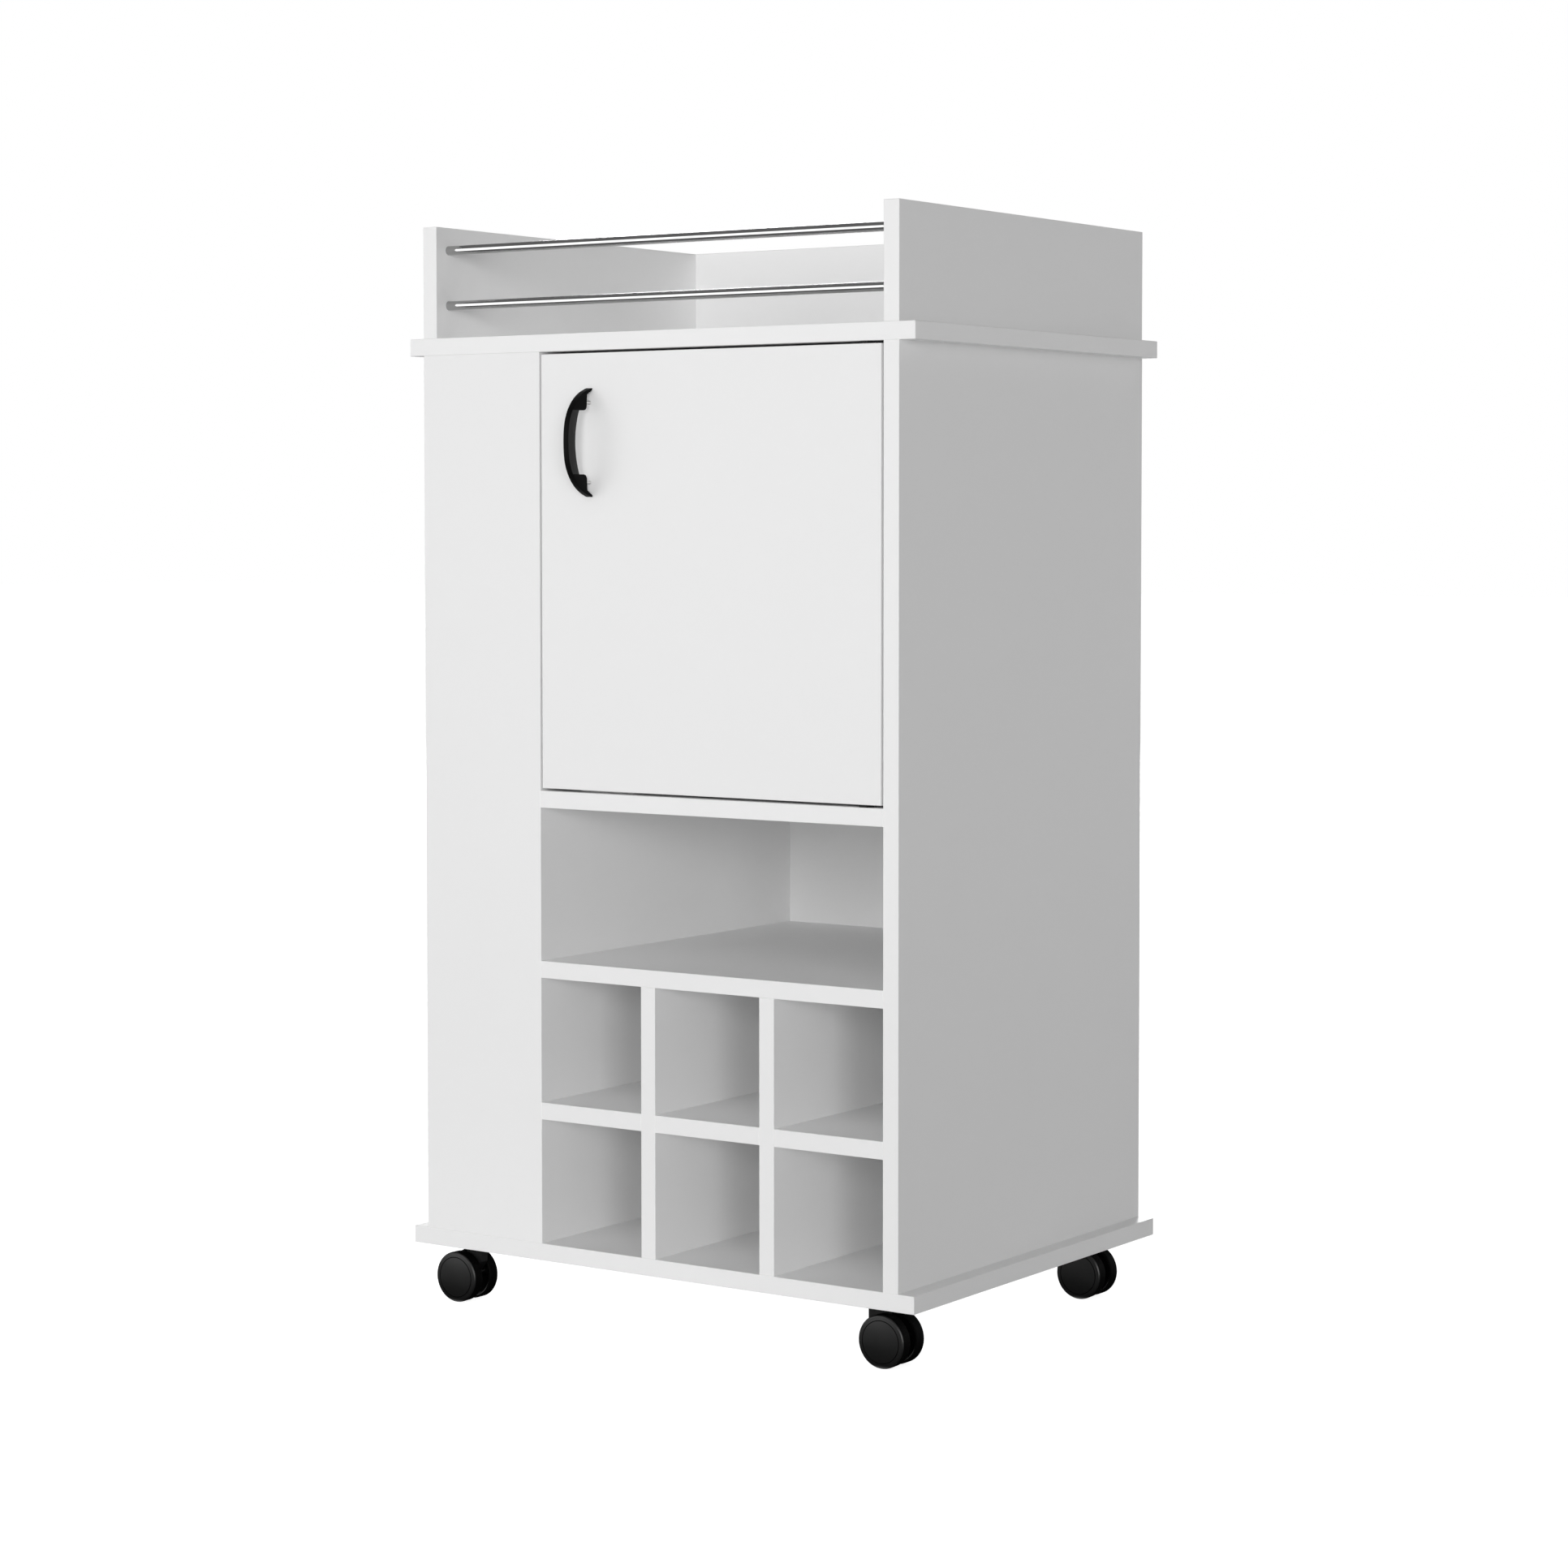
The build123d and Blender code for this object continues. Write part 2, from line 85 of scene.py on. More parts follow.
noiseKinds = {
    "grain": {"Detail": 3, "Roughness": 0.6},
    "cloud": {"Detail": 4, "Roughness": 0.5},
    "streak": {"Detail": 4, "Roughness": 0.6},
}
noiseMiddle = 0.5  # a noise runs from 0 to 1 about this level


def noiseNode(tree, kind, place, scale):
    return addNode(tree, "ShaderNodeTexNoise", Vector=place, Scale=scale, **noiseKinds[kind]).outputs["Fac"]


# A value that sways by some spread about its middle
def swayed(tree, sway, spread, middle):
    return mathNode(tree, "ADD", mathNode(tree, "MULTIPLY", sway, spread), middle)


def tinted(tree, color, factor):
    node = addNode(tree, "ShaderNodeVectorMath", {"operation": "SCALE"}, Scale=factor)
    tree.links.new(color, node.inputs[0])
    return node.outputs[0]


# Fine skin of a pressed or moulded surface: a small grain for bump, a broad cloud for tone and gloss
def makeSurfaceGrain():
    group, given, result = startGroup(
        "surfaceGrain",
        [
            ("Color", "NodeSocketColor", (0.8, 0.8, 0.8, 1)),
            ("Grain Scale", "NodeSocketFloat", 1500),
            ("Cloud Scale", "NodeSocketFloat", 9),
            ("Tone", "NodeSocketFloat", 0.02),
            ("Roughness", "NodeSocketFloat", 0.4),
            ("Gloss Spread", "NodeSocketFloat", 0.08),
        ],
        [("Color", "NodeSocketColor"), ("Roughness", "NodeSocketFloat"), ("Height", "NodeSocketFloat")],
    )
    place = addNode(group, "ShaderNodeTexCoord").outputs["Object"]
    grain = noiseNode(group, "grain", place, given["Grain Scale"])
    cloud = noiseNode(group, "cloud", place, given["Cloud Scale"])
    lean = mathNode(group, "SUBTRACT", cloud, noiseMiddle)
    factor = swayed(group, lean, given["Tone"], 1)
    both = mathNode(group, "ADD", mathNode(group, "SUBTRACT", grain, noiseMiddle), lean)
    gloss = swayed(group, both, given["Gloss Spread"], given["Roughness"])
    group.links.new(tinted(group, given["Color"], factor), result["Color"])
    group.links.new(gloss, result["Roughness"])
    group.links.new(grain, result["Height"])
    return group


# Streaks along one axis for tone, gloss and bump, of drawn or plated metal and of wood
def makeMetalStreaks():
    group, given, result = startGroup(
        "metalStreaks",
        [
            ("Color", "NodeSocketColor", (0.6, 0.6, 0.6, 1)),
            ("Stretch", "NodeSocketVector", (1, 1, 1)),
            ("Streak Scale", "NodeSocketFloat", 900),
            ("Tone", "NodeSocketFloat", 0.1),
            ("Roughness", "NodeSocketFloat", 0.2),
            ("Gloss Spread", "NodeSocketFloat", 0.1),
        ],
        [("Color", "NodeSocketColor"), ("Roughness", "NodeSocketFloat"), ("Height", "NodeSocketFloat")],
    )
    place = addNode(group, "ShaderNodeTexCoord").outputs["Object"]
    drawn = addNode(group, "ShaderNodeVectorMath", {"operation": "MULTIPLY"})
    group.links.new(place, drawn.inputs[0])
    group.links.new(given["Stretch"], drawn.inputs[1])
    streak = noiseNode(group, "streak", drawn.outputs[0], given["Streak Scale"])
    lean = mathNode(group, "SUBTRACT", streak, noiseMiddle)
    factor = swayed(group, lean, given["Tone"], 1)
    gloss = swayed(group, lean, given["Gloss Spread"], given["Roughness"])
    group.links.new(tinted(group, given["Color"], factor), result["Color"])
    group.links.new(gloss, result["Roughness"])
    group.links.new(streak, result["Height"])
    return group


surfaceGrain = makeSurfaceGrain()
metalStreaks = makeMetalStreaks()


# A finish is one Principled shader fed by a group, with a bump of its own depth in metres
def makeFinish(name, group, values, bump, **shaderValues):
    material = bpy.data.materials.new(name)
    material.use_nodes = True
    tree = material.node_tree
    shader = tree.nodes["Principled BSDF"]
    skin = addNode(tree, "ShaderNodeGroup", {"node_tree": group})
    for label, value in values.items():
        skin.inputs[label].default_value = value
    relief = addNode(tree, "ShaderNodeBump", Strength=1.0, Distance=bump, Height=skin.outputs["Height"])
    tree.links.new(skin.outputs["Color"], shader.inputs["Base Color"])
    tree.links.new(skin.outputs["Roughness"], shader.inputs["Roughness"])
    tree.links.new(relief.outputs["Normal"], shader.inputs["Normal"])
    for label, value in shaderValues.items():
        shader.inputs[label.replace("_", " ")].default_value = value
    return material


def grey(level, warmth=0.0):
    return (level * (1 + warmth), level, level * (1 - warmth), 1)


finishes = {
    "boardFace": makeFinish(
        "whiteMelamineFace",
        surfaceGrain,
        {"Color": grey(0.9), "Grain Scale": 1400, "Cloud Scale": 7, "Tone": 0.02, "Roughness": 0.46},
        bump=0.00002,
        Specular_IOR_Level=0.4,
    ),
    "boardEdge": makeFinish(
        "whiteEdgeBand",
        surfaceGrain,
        {"Color": grey(0.9), "Grain Scale": 2600, "Cloud Scale": 16, "Tone": 0.015, "Roughness": 0.38},
        bump=0.00001,
        Specular_IOR_Level=0.4,
    ),
    "hardboard": makeFinish(
        "whiteHardboard",
        surfaceGrain,
        {"Color": grey(0.86), "Grain Scale": 700, "Cloud Scale": 14, "Tone": 0.05, "Roughness": 0.62},
        bump=0.00005,
        Specular_IOR_Level=0.3,
    ),
    "chrome": makeFinish(
        "rodChrome",
        metalStreaks,
        {"Color": grey(0.45), "Stretch": (0.02, 1, 1), "Streak Scale": 1500, "Tone": 0.06,
         "Roughness": 0.09, "Gloss Spread": 0.05},
        bump=0.000001,
        Metallic=1.0,
    ),
    "handleBlack": makeFinish(
        "handleBlackSatin",
        surfaceGrain,
        {"Color": grey(0.004), "Grain Scale": 3500, "Cloud Scale": 60, "Tone": 0.3, "Roughness": 0.4},
        bump=0.000006,
        Specular_IOR_Level=0.03,
    ),
    # Copy of the black satin for the grip's flanks: its lighter colour is painted sheen, its stronger gloss
    # comes from the shader
    "paintedSheenFlank": makeFinish(
        "handleFlankPaintedSheen",
        surfaceGrain,
        {"Color": grey(0.012), "Grain Scale": 3500, "Cloud Scale": 60, "Tone": 0.3, "Roughness": 0.42},
        bump=0.000006,
        Specular_IOR_Level=0.22,
    ),
    "casterFace": makeFinish(
        "casterFacePlastic",
        surfaceGrain,
        {"Color": grey(0.005), "Grain Scale": 3000, "Cloud Scale": 80, "Tone": 0.25, "Roughness": 0.34},
        bump=0.000006,
        Specular_IOR_Level=0.42,
    ),
    "casterTread": makeFinish(
        "casterTreadRubber",
        surfaceGrain,
        {"Color": grey(0.002), "Grain Scale": 1800, "Cloud Scale": 90, "Tone": 0.4, "Roughness": 0.6},
        bump=0.00001,
        Specular_IOR_Level=0.03,
    ),
    "casterInside": makeFinish(
        "casterInsidePlastic",
        surfaceGrain,
        {"Color": grey(0.003), "Grain Scale": 3000, "Cloud Scale": 80, "Tone": 0.3, "Roughness": 0.2},
        bump=0.000003,
        Specular_IOR_Level=0.5,
    ),
    "casterFork": makeFinish(
        "casterForkPlastic",
        surfaceGrain,
        {"Color": grey(0.004), "Grain Scale": 2600, "Cloud Scale": 70, "Tone": 0.3, "Roughness": 0.5},
        bump=0.000006,
        Specular_IOR_Level=0.3,
    ),
    "zinc": makeFinish(
        "zincPlate",
        metalStreaks,
        {"Color": grey(0.74, 0.01), "Stretch": (1, 0.25, 1), "Streak Scale": 700, "Tone": 0.25,
         "Roughness": 0.34, "Gloss Spread": 0.2},
        bump=0.000008,
        Metallic=1.0,
    ),
    "beech": makeFinish(
        "beechDowel",
        metalStreaks,
        {"Color": (0.52, 0.33, 0.18, 1), "Stretch": (0.2, 1, 0.2), "Streak Scale": 900, "Tone": 0.5,
         "Roughness": 0.6, "Gloss Spread": 0.1},
        bump=0.00003,
        Specular_IOR_Level=0.3,
    ),
    "nylon": makeFinish(
        "whiteNylon",
        surfaceGrain,
        {"Color": grey(0.78, 0.01), "Grain Scale": 2200, "Cloud Scale": 50, "Tone": 0.04, "Roughness": 0.42},
        bump=0.00001,
        Subsurface_Weight=0.05,
        Subsurface_Radius=(0.002, 0.002, 0.002),
    ),
    "blackNylon": makeFinish(
        "blackNylonBush",
        surfaceGrain,
        {"Color": grey(0.006), "Grain Scale": 2200, "Cloud Scale": 50, "Tone": 0.2, "Roughness": 0.5},
        bump=0.000006,
        Specular_IOR_Level=0.2,
    ),
    "ferrite": makeFinish(
        "ferriteMagnet",
        surfaceGrain,
        {"Color": grey(0.06), "Grain Scale": 1600, "Cloud Scale": 120, "Tone": 0.3, "Roughness": 0.6},
        bump=0.00003,
    ),
}
print("finishes made:", len(finishes))


# Boards: the wide faces take the melamine, every narrow face its edge band
faceLean = 0.9  # least share of a face's normal along the board's thin way


def finishBoard(name):
    mesh = nodes[name].data
    low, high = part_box(name)
    size = high - low
    thin = min(range(3), key=lambda axis: size[axis])
    mesh.materials.clear()
    mesh.materials.append(finishes["boardFace"])
    mesh.materials.append(finishes["boardEdge"])
    for face in mesh.polygons:
        face.material_index = 0 if abs(face.normal[thin]) > faceLean else 1


def finishNode(name, finish):
    mesh = nodes[name].data
    mesh.materials.clear()
    mesh.materials.append(finishes[finish])


boardNames = [
    "base_board", "top_board", "right_side_panel",
    "bay_wall", "bay_front_panel", "bay_rear_panel", "bay_shelf",
    "cupboard_floor", "open_shelf_floor", "cubby_divider_left", "cubby_divider_right",
    "cubby_shelf_left", "cubby_shelf_middle", "cubby_shelf_right",
    "gallery_left_rail", "gallery_right_rail", "gallery_back_rail", "door",
]
nodeFinishes = {
    "hardboard": ["back_panel"],
    "chrome": ["gallery_rod_lower", "gallery_rod_upper"],
    "zinc": ["caster_plates", "cam_bolts", "catch_poles", "strike_plate", "pivot_pins"],
    "beech": ["dowels"],
    "nylon": ["catch_housing"],
    "blackNylon": ["pivot_bushes"],
    "ferrite": ["catch_magnet"],
    "casterFork": [corner + "_fork" for corner in cornerNames],
}
nodeFinishes["zinc"] += [corner + "_axle" for corner in cornerNames]
for name in boardNames:
    finishBoard(name)
for finish, names in nodeFinishes.items():
    for name in names:
        finishNode(name, finish)
print("boards and fittings finished:", len(boardNames) + sum(map(len, nodeFinishes.values())))


# Mesh helpers

def newPiece(name, form, smoothAngle=35):
    bmesh.ops.recalc_face_normals(form, faces=form.faces)
    mesh = bpy.data.meshes.new(name)
    for face in form.faces:
        face.smooth = True
    form.to_mesh(mesh)
    form.free()
    mesh.set_sharp_from_angle(angle=radians(smoothAngle))
    piece = bpy.data.objects.new(name, mesh)
    scene.collection.objects.link(piece)
    return piece


# Turns an outline of (radius, level) points about +Z; finishOf holds the material slot of each stretch
def turnOutline(form, outline, segments, place, finishOf=None):
    rings = []
    for radius, level in outline:
        count = segments if radius > 0 else 1
        angles = [2 * pi * i / segments for i in range(count)]
        ring = [Vector((radius * cos(a), radius * sin(a), level)) for a in angles]
        rings.append([form.verts.new(place @ spot) for spot in ring])
    for step, (low, high) in enumerate(zip(rings, rings[1:])):
        for i in range(segments):
            j = (i + 1) % segments
            corners = (low[i % len(low)], low[j % len(low)], high[j % len(high)], high[i % len(high)])
            face = form.faces.new(dict.fromkeys(corners))
            face.material_index = finishOf[step] if finishOf else 0


def arc(centre, radius, start, end, steps):
    angles = [radians(start + (end - start) * i / steps) for i in range(steps + 1)]
    return [(centre[0] + radius * cos(a), centre[1] + radius * sin(a)) for a in angles]


def along(point, direction):
    return Matrix.Translation(point) @ Vector(direction).to_track_quat("Z", "Y").to_matrix().to_4x4()


# Boxes of the separate solids in one node, from the faces that share corners
sameSpot = 0.00001  # corners nearer than this are one


def solidBoxes(name):
    mesh = nodes[name].data
    spots = {}
    leader = []

    def find(i):
        while leader[i] != i:
            i = leader[i]
        return i

    spotOf = []
    for vertex in mesh.vertices:
        key = tuple(round(value / sameSpot) for value in vertex.co)
        if key not in spots:
            spots[key] = len(leader)
            leader.append(len(leader))
        spotOf.append(spots[key])
    for face in mesh.polygons:
        first = find(spotOf[face.vertices[0]])
        for corner in face.vertices[1:]:
            leader[find(spotOf[corner])] = first
    groups = {}
    for vertex in mesh.vertices:
        groups.setdefault(find(spotOf[vertex.index]), []).append(vertex.co)
    boxes = []
    for points in groups.values():
        low = Vector(min(point[axis] for point in points) for axis in range(3))
        high = Vector(max(point[axis] for point in points) for axis in range(3))
        boxes.append((low, high))
    return boxes


# Caster wheels: domed face with a ring groove, rounded shoulder, crowned tread, hollow towards the fork
wheel = {
    "segments": 96,
    "smoothAngle": 28,
    "capSteps": 10,
    "rimSteps": 4,
    "shoulderSteps": 8,
    "shoulderStart": 80,
    "lipSteps": 6,
    "shoulder": 0.0021,
    "crown": 0.00012,
    "grooveRadius": 0.0178,
    "grooveWidth": 0.0007,
    "grooveDepth": 0.0005,
    "domeRise": 0.0016,
    "rim": 0.0034,
    "web": 0.0036,
    "hub": 0.006,
    "lip": 0.0009,
    "innerLip": 0.0024,
    "axleRadius": 0.0025,
    "axleFit": 0.0001,
    "axleRoom": 0.0004,
}


def wheelOutline(radius, inner, outer):
    domeReach = radius - wheel["shoulder"]
    domeRadius = (domeReach**2 + wheel["domeRise"] ** 2) / (2 * wheel["domeRise"])
    grooveIn = wheel["grooveRadius"] - wheel["grooveWidth"] / 2
    grooveOut = wheel["grooveRadius"] + wheel["grooveWidth"] / 2

    def dome(start, end, steps):
        spots = [start + (end - start) * i / steps for i in range(steps + 1)]
        return [(r, outer - domeRadius + sqrt(domeRadius**2 - r**2)) for r in spots]

    cap = dome(0, grooveIn, wheel["capSteps"])
    rim = dome(grooveOut, domeReach, wheel["rimSteps"])
    floor = cap[-1][1] - wheel["grooveDepth"]
    groove = [(grooveIn, floor), (grooveOut, floor)]
    shoulderCentre = (domeReach, outer - wheel["domeRise"] - wheel["shoulder"])
    shoulder = arc(shoulderCentre, wheel["shoulder"], wheel["shoulderStart"], 0, wheel["shoulderSteps"])
    hollow = outer - wheel["web"]
    rimIn = radius - wheel["rim"]
    bore = wheel["axleRadius"] + wheel["axleFit"]
    boreEnd = hollow + wheel["axleRoom"]
    tread = [(radius - wheel["crown"], inner + wheel["lip"]), (radius - wheel["lip"], inner)]
    lip = wheel["innerLip"]
    inside = arc((rimIn + lip, inner + lip), lip, 270, 180, wheel["lipSteps"])
    inside += [(rimIn, hollow), (wheel["hub"], hollow), (wheel["hub"], inner)]
    inside += [(bore, inner), (bore, boreEnd), (0, boreEnd)]
    face = cap + groove + rim + shoulder  # the tread's finish starts halfway round the shoulder
    faceEnd = len(face) - len(shoulder) // 2
    finishOf = [0] * faceEnd + [1] * (len(face + tread) - faceEnd) + [2] * len(inside)
    for step in range(len(cap) - 1, len(cap) + len(groove)):
        finishOf[step] = 1
    return face + tread + inside, finishOf


def buildWheel(node):
    low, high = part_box(node)
    middle = (low + high) / 2
    forward = node.endswith("fore")
    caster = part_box(node.rsplit("_wheel", 1)[0] + "_axle")
    centreY = (caster[0].y + caster[1].y) / 2
    radius = (high.z - low.z) / 2
    inner, outer = sorted((abs(low.y - centreY), abs(high.y - centreY)))
    outline, finishOf = wheelOutline(radius, inner, outer)
    form = bmesh.new()
    place = along((middle.x, centreY, middle.z), (0, -1 if forward else 1, 0))
    turnOutline(form, outline, wheel["segments"], place, finishOf)
    piece = newPiece(node + "_turned", form, wheel["smoothAngle"])
    for finish in ("casterFace", "casterTread", "casterInside"):
        piece.data.materials.append(finishes[finish])
    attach(piece, node)
    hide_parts(node)


for corner in cornerNames:
    for end in ("fore", "aft"):
        buildWheel(f"{corner}_wheel_{end}")
print("wheels turned")


# Bow handle: one outline seen from the side with its two screw bosses, as wide as the node, edges rounded
handle = {
    "crownWidth": 0.024,
    "crownRadius": 0.1,
    "thickness": 0.0099,
    "gripRise": 0.0055,
    "bossInset": 0.0125,
    "bossLength": 0.0135,
    "bossGap": 0.007,
    "bossCorner": 0.004,
    "tipLand": 0.0015,
    "edge": 0.0008,
    "edgeRound": 0.5,
    "edgeSteps": 4,
    "crownSteps": 10,
    "shoulderSteps": 44,
    "gripSteps": 32,
    "cornerSteps": 8,
    # least sideways lean of a face on the grip that takes the painted sheen
    "sheenFlankLean": 0.8,
    "smoothAngle": 40,
}


# Upper half of the outline, as (up, away from the door) points from the outer middle to the inner one
def handleOutline(half, projection):
    crownRadius = handle["crownRadius"]
    crownTurn = asin(handle["crownWidth"] / 2 / crownRadius)
    crownCentre = Vector((0, projection - crownRadius))
    inward = Vector((-sin(crownTurn), -cos(crownTurn)))
    crownEnd = crownCentre - inward * crownRadius
    chord = Vector((half, 0)) - crownEnd
    shoulderRadius = chord.dot(chord) / (2 * inward.dot(chord))
    shoulderCentre = crownEnd + inward * shoulderRadius
    crownAngle = 90 - degrees(crownTurn)
    tipAngle = degrees(atan2(-shoulderCentre.y, half - shoulderCentre.x))
    crown = arc(crownCentre, crownRadius, 90, crownAngle, handle["crownSteps"])
    shoulder = arc(shoulderCentre, shoulderRadius, crownAngle, tipAngle, handle["shoulderSteps"])
    bossIn = half - handle["bossInset"] - handle["bossLength"] / 2
    bossOut = bossIn + handle["bossLength"]
    gap, corner, rise = handle["bossGap"], handle["bossCorner"], handle["gripRise"]
    foot = [(half - handle["tipLand"], 0), (bossOut, gap)]
    boss = arc((bossIn + corner, gap + corner), corner, 270, 180, handle["cornerSteps"])
    gripInside = projection - handle["thickness"]
    gripRadius = (bossIn**2 + rise**2) / (2 * rise)
    gripAngle = 90 - degrees(asin(bossIn / gripRadius))
    grip = arc((0, gripInside - gripRadius), gripRadius, gripAngle, 90, handle["gripSteps"])
    return crown + shoulder[1:] + foot + boss + grip, bossIn


def buildHandle():
    low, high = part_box("handle")
    middle = (low + high) / 2
    upper, bossIn = handleOutline((high.z - low.z) / 2, high.y - low.y)
    outline = upper + [(-up, away) for up, away in reversed(upper[1:-1])]
    form = bmesh.new()
    corners = [form.verts.new((low.x, high.y - away, middle.z + up)) for up, away in outline]
    side = form.faces.new(corners)
    copied = bmesh.ops.extrude_face_region(form, geom=[side])["geom"]
    moved = [item for item in copied if isinstance(item, bmesh.types.BMVert)]
    bmesh.ops.translate(form, verts=moved, vec=(high.x - low.x, 0, 0))
    clear = high.y - handle["bossGap"] / 2  # the tips keep their full foot
    rims = []
    for edge in form.edges:
        first, second = (vertex.co for vertex in edge.verts)
        if abs(first.x - second.x) < handle["edge"] and max(first.y, second.y) < clear:
            rims.append(edge)
    bmesh.ops.bevel(
        form,
        geom=rims,
        offset=handle["edge"],
        segments=handle["edgeSteps"],
        profile=handle["edgeRound"],
        affect="EDGES",
    )
    for level in (middle.z - bossIn, middle.z + bossIn):
        whole = form.verts[:] + form.edges[:] + form.faces[:]
        bmesh.ops.bisect_plane(form, geom=whole, plane_co=(0, 0, level), plane_no=(0, 0, 1))
    # The grip's sideways faces take the lighter copy of the satin, a painted sheen on the flanks
    for face in form.faces:
        sideways = abs(face.normal.x) > handle["sheenFlankLean"]
        onGrip = abs(face.calc_center_median().z - middle.z) < bossIn
        face.material_index = 1 if sideways and onGrip else 0
    piece = newPiece("bow_handle", form, handle["smoothAngle"])
    piece.data.materials.append(finishes["handleBlack"])
    piece.data.materials.append(finishes["paintedSheenFlank"])
    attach(piece, "door")
    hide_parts("handle")


buildHandle()
print("handle moulded")


# Cuts one mesh by another, which is used up
def cutBy(piece, cutter):
    modifier = piece.modifiers.new("cut", "BOOLEAN")
    modifier.operation = "DIFFERENCE"
    modifier.solver = "EXACT"
    modifier.object = cutter
    made = bpy.data.meshes.new_from_object(piece.evaluated_get(bpy.context.evaluated_depsgraph_get()))
    bpy.data.objects.remove(cutter)
    piece.modifiers.clear()
    piece.data = made
    return piece


# Cross recess for a driver, sunk from the origin along +Z
def crossRecess(reach, width, depth):
    cross = bmesh.new()
    for wide, deep in ((reach, width), (width, reach)):
        bmesh.ops.create_cube(cross, size=1, matrix=Matrix.Diagonal((2 * wide, 2 * deep, 2 * depth, 1)))
    return newPiece("cross", cross)


# Adds one turned piece with a cross recess to a mesh that holds several
def addRecessed(made, outline, segments, cross, place):
    form = bmesh.new()
    turnOutline(form, outline, segments, Matrix.Identity(4))
    piece = cutBy(newPiece("recessed", form), cross)
    piece.data.transform(place)
    made.from_mesh(piece.data)
    bpy.data.objects.remove(piece)


# Screws: turned head and threaded shank with a cross recess, one at each solid of the node
screwKinds = {
    "caster_screws": {
        "body": "cabinet", "facing": (0, 0, 1), "head": 0.0035, "height": 0.001, "shank": 0.00175,
    },
    "catch_screws": {
        "body": "cabinet", "facing": (0, 0, -1), "head": 0.0035, "height": 0.0018, "shank": 0.00175,
    },
    "handle_screws": {
        "body": "door", "facing": (0, -1, 0), "head": 0.0035, "height": 0.0018, "shank": 0.00175,
    },
    "strike_screw": {
        "body": "door", "facing": (0, -1, 0), "head": 0.0025, "height": 0.001, "shank": 0.00175,
    },
    "euro_screws": {
        "body": "cabinet", "facing": (0, 0, 1), "head": 0.005, "height": 0.003, "shank": 0.0035,
    },
}
screwDetail = {
    "segments": 32,
    "smoothAngle": 40,
    "domeSteps": 5,
    "domeShare": 0.8,  # of the head's height
    "crossWidth": 0.16,  # of the head's radius, as the reach
    "crossReach": 0.62,
    "crossDepth": 0.75,  # of the head's height
    "pitch": 0.0011,
    "threadDepth": 0.16,  # of the shank's radius, as the point
    "point": 1.6,
}


def screwOutline(kind, length):
    head, height, shank = kind["head"], kind["height"], kind["shank"]
    rise = height * screwDetail["domeShare"]
    steps = screwDetail["domeSteps"]
    turns = [pi / 2 * i / steps for i in range(steps + 1)]
    dome = [(head * sin(turn), rise * (1 - cos(turn))) for turn in turns]
    points = dome + [(head, height), (shank, height)]
    level = height + screwDetail["pitch"] / 2
    tip = length - screwDetail["point"] * shank
    root = shank * (1 - screwDetail["threadDepth"])
    while level + screwDetail["pitch"] < tip:
        points += [(root, level), (shank, level + screwDetail["pitch"] / 2)]
        level += screwDetail["pitch"]
    return points + [(root, tip), (0, length)]


def buildScrews(name, kind):
    facing = Vector(kind["facing"])
    axis = max(range(3), key=lambda i: abs(facing[i]))
    made = bmesh.new()
    for low, high in solidBoxes(name):
        start = (low + high) / 2
        start[axis] = low[axis] if facing[axis] > 0 else high[axis]
        outline = screwOutline(kind, high[axis] - low[axis])
        cross = crossRecess(
            kind["head"] * screwDetail["crossReach"],
            kind["head"] * screwDetail["crossWidth"],
            kind["height"] * screwDetail["crossDepth"],
        )
        addRecessed(made, outline, screwDetail["segments"], cross, along(start, facing))
    piece = newPiece(name + "_driven", made, screwDetail["smoothAngle"])
    piece.data.materials.append(finishes["zinc"])
    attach(piece, kind["body"])
    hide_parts(name)


for name, kind in screwKinds.items():
    buildScrews(name, kind)
print("screws driven:", len(screwKinds), "kinds")


# Cam locks: cast discs with a cross recess, sunk in the floors' undersides and in the uprights
camLock = {
    "segments": 40,
    "smoothAngle": 30,
    "bevel": 0.0008,
    "crossReach": 0.0045,
    "crossWidth": 0.001,
    "crossDepth": 0.0035,
}


def buildCamLocks():
    made = bmesh.new()
    for low, high in solidBoxes("cam_locks"):
        size = high - low
        axis = min(range(3), key=lambda i: size[i])
        facing = Vector((0, 0, 1)) if axis == 2 else Vector((1, 0, 0))
        start = (low + high) / 2
        start[axis] = low[axis]
        radius, depth, bevel = max(size) / 2, size[axis], camLock["bevel"]
        outline = [(0, 0), (radius - bevel, 0), (radius, bevel), (radius, depth), (0, depth)]
        cross = crossRecess(camLock["crossReach"], camLock["crossWidth"], camLock["crossDepth"])
        addRecessed(made, outline, camLock["segments"], cross, along(start, facing))
    piece = newPiece("cam_locks_cast", made, camLock["smoothAngle"])
    piece.data.materials.append(finishes["zinc"])
    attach(piece, "cabinet")
    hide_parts("cam_locks")


buildCamLocks()
print("cam locks cast")


# Studio: a pale floor, soft lights of the world, lamps, and cards that only the shiny surfaces see
studio = {
    "floorColor": 0.8,
    "floorGlow": 0.88,
    "floorLight": 0.07,
    "floorRoughness": 0.9,
    "floorSize": 60.0,
    "skyGlow": 1.0,
    "aim": (0.0, 0.0, 0.5),
    "beam": 180,
}
softLights = {
    "leftFront": {"turn": -18, "rise": 8, "strength": 1.04, "spread": 4},
    "highRight": {"turn": 23, "rise": 45, "strength": 0.46, "spread": 3.5},
}
lamps = {
    "keyLamp": {"turn": 25, "rise": 8, "away": 12.0, "size": (2.6, 4.2), "power": 405.0},
    "sideLamp": {"turn": 46, "rise": 4, "away": 12.0, "size": (2.4, 2.4), "power": 205.0},
    "backLamp": {"turn": -150, "rise": 12, "away": 8.0, "size": (3.0, 3.0), "power": 330.0},
    "trayLamp": {
        "turn": 0, "rise": 90, "away": 2.0, "size": (0.42, 0.24), "power": 0.15,
        "aim": (-0.05, -0.09, 0.86), "beam": 12,
    },
}
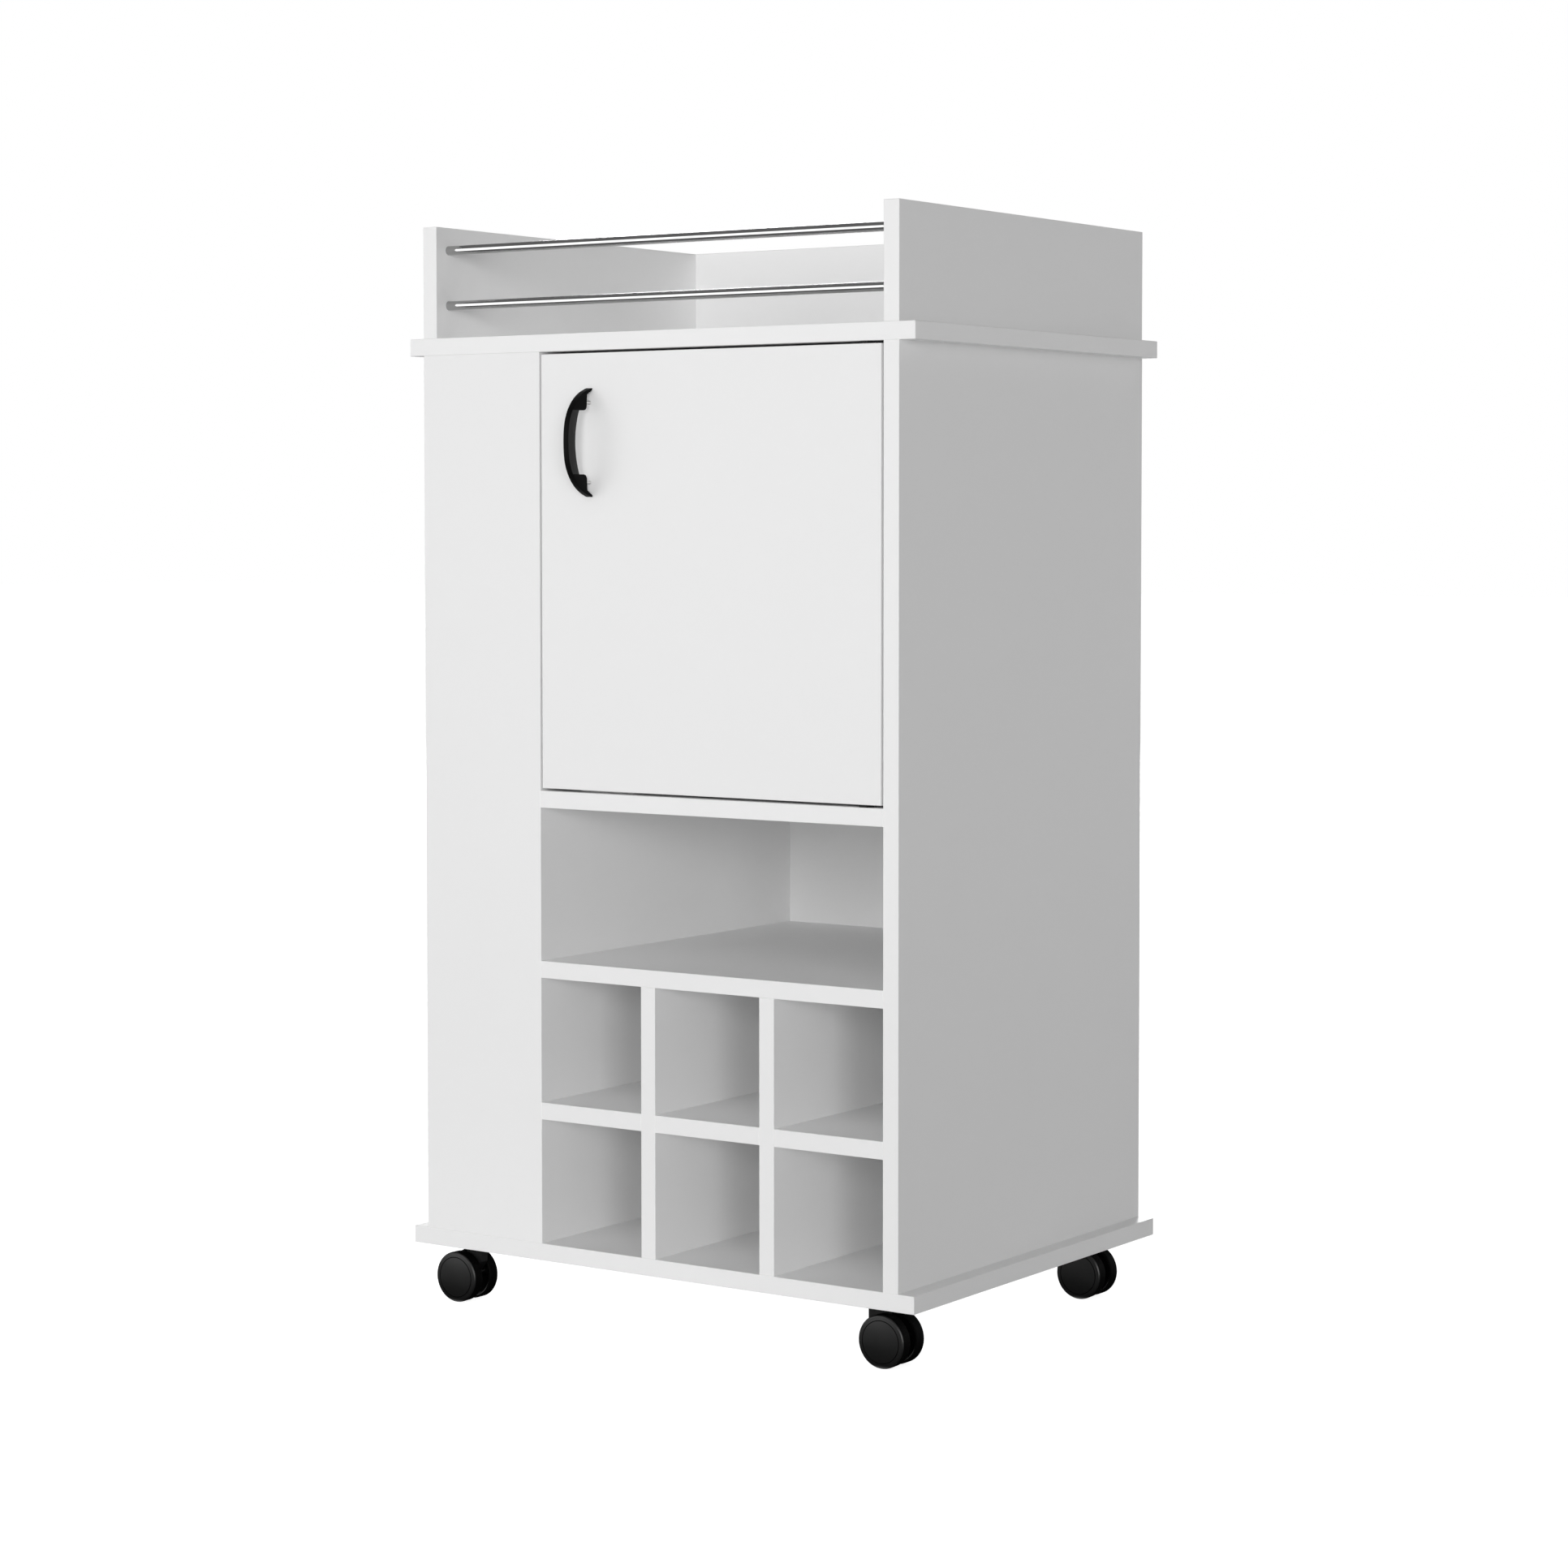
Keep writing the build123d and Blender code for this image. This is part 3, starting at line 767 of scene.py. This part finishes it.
cards = {
    "ceilingCard": {"at": (0, 0, 2.6), "facing": (0, 0, -1), "size": (7.0, 7.0), "strength": 0.22},
    "floorCard": {"at": (0, 0, 0.002), "facing": (0, 0, 1), "size": (6.0, 6.0), "strength": 0.2},
    "brightCard": {"at": (-1.4, -2.0, 0.9), "facing": (1.4, 2.0, 0), "size": (1.3, 1.7), "strength": 2.6},
}
# Dark card on the floor under each caster, seen only by shiny surfaces: painted shade of the floor beneath
# the wheels
casterShadeCard = {"level": 0.003, "facing": (0, 0, 1), "size": (0.13, 0.13), "strength": 0.01}
for corner in cornerNames:
    low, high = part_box(corner + "_axle")
    spot = ((low.x + high.x) / 2, (low.y + high.y) / 2, casterShadeCard["level"])
    cards[corner + "_shade_card"] = {**casterShadeCard, "at": spot}


def seenRays(tree):
    path = addNode(tree, "ShaderNodeLightPath").outputs
    either = mathNode(tree, "MAXIMUM", path["Is Camera Ray"], path["Is Glossy Ray"])
    return mathNode(tree, "MAXIMUM", either, path["Is Transmission Ray"])


def outward(turn, rise):
    turn, rise = radians(turn), radians(rise)
    return Vector((sin(turn) * cos(rise), -cos(turn) * cos(rise), sin(rise)))


# The world lights softly round a few directions and shows plain white where it is seen
def buildWorld():
    world = bpy.data.worlds.new("studioWorld")
    scene.world = world
    world.use_nodes = True
    tree = world.node_tree
    sky = tree.nodes["Background"]
    sky.inputs["Color"].default_value = (1, 1, 1, 1)
    way = addNode(tree, "ShaderNodeTexCoord").outputs["Generated"]
    light = 0
    for soft in softLights.values():
        towards = addNode(tree, "ShaderNodeVectorMath", {"operation": "DOT_PRODUCT"})
        tree.links.new(way, towards.inputs[0])
        towards.inputs[1].default_value = outward(soft["turn"], soft["rise"])
        ahead = mathNode(tree, "MAXIMUM", towards.outputs["Value"], 0)
        lobe = mathNode(tree, "POWER", ahead, soft["spread"])
        light = swayed(tree, lobe, soft["strength"], light)
    shown = addNode(tree, "ShaderNodeMapRange", Value=seenRays(tree), To_Min=light, To_Max=studio["skyGlow"])
    tree.links.new(shown.outputs["Result"], sky.inputs["Strength"])


# One flat face: a grid's size is half its width
def flatPiece(name, size):
    form = bmesh.new()
    wide = Matrix.Diagonal((*size, 1, 1))
    bmesh.ops.create_grid(form, x_segments=1, y_segments=1, size=1 / 2, matrix=wide)
    return newPiece(name, form)


def buildFloor():
    floor = flatPiece("studio_floor", (studio["floorSize"], studio["floorSize"]))
    material = bpy.data.materials.new("paleFloor")
    material.use_nodes = True
    tree = material.node_tree
    shader = tree.nodes["Principled BSDF"]
    shader.inputs["Base Color"].default_value = grey(studio["floorColor"])
    shader.inputs["Roughness"].default_value = studio["floorRoughness"]
    shader.inputs["Specular IOR Level"].default_value = 0.0
    shader.inputs["Emission Color"].default_value = (1, 1, 1, 1)
    glow = addNode(
        tree,
        "ShaderNodeMapRange",
        Value=seenRays(tree),
        To_Min=studio["floorLight"],
        To_Max=studio["floorGlow"],
    )
    tree.links.new(glow.outputs["Result"], shader.inputs["Emission Strength"])
    floor.data.materials.append(material)


def buildCard(name, card):
    piece = flatPiece(name, card["size"])
    piece.matrix_world = along(card["at"], card["facing"])
    material = bpy.data.materials.new(name)
    material.use_nodes = True
    tree = material.node_tree
    tree.nodes.clear()
    light = addNode(tree, "ShaderNodeEmission", Strength=card["strength"])
    output = addNode(tree, "ShaderNodeOutputMaterial")
    tree.links.new(light.outputs[0], output.inputs["Surface"])
    piece.data.materials.append(material)
    for ray in ("camera", "diffuse", "transmission", "volume_scatter", "shadow"):
        setattr(piece, "visible_" + ray, False)


def buildLamp(name, lamp):
    data = bpy.data.lights.new(name, "AREA")
    data.shape = "RECTANGLE"
    data.size, data.size_y = lamp["size"]
    data.energy = lamp["power"]
    data.spread = radians(lamp.get("beam", studio["beam"]))
    piece = bpy.data.objects.new(name, data)
    out = outward(lamp["turn"], lamp["rise"])
    piece.location = Vector(lamp.get("aim", studio["aim"])) + out * lamp["away"]
    piece.rotation_euler = (-out).to_track_quat("-Z", "Y").to_euler()
    piece.visible_camera = False
    scene.collection.objects.link(piece)


buildWorld()
buildFloor()
for name, card in cards.items():
    buildCard(name, card)
for name, lamp in lamps.items():
    buildLamp(name, lamp)
print("studio lit:", len(lamps), "lamps,", len(cards), "cards")


# Camera at the place, turn and framing of the photograph
view = {
    "at": (1.8195, -2.61325, 0.6923),
    "turn": 34.321,
    "dip": 2.709,
    "sensor": 36.0,
    "lens": 82.15,
    "shift": (-0.0154, -0.0563),
    "reach": 100.0,
}
cameraData = bpy.data.cameras.new("camera")
cameraData.sensor_width = view["sensor"]
cameraData.lens = view["lens"]
cameraData.shift_x, cameraData.shift_y = view["shift"]
cameraData.clip_end = view["reach"]
camera = bpy.data.objects.new("camera", cameraData)
camera.location = view["at"]
camera.rotation_euler = (radians(90 - view["dip"]), 0, radians(view["turn"]))
scene.collection.objects.link(camera)
scene.camera = camera
scene.view_settings.view_transform = "Standard"
print("camera set")
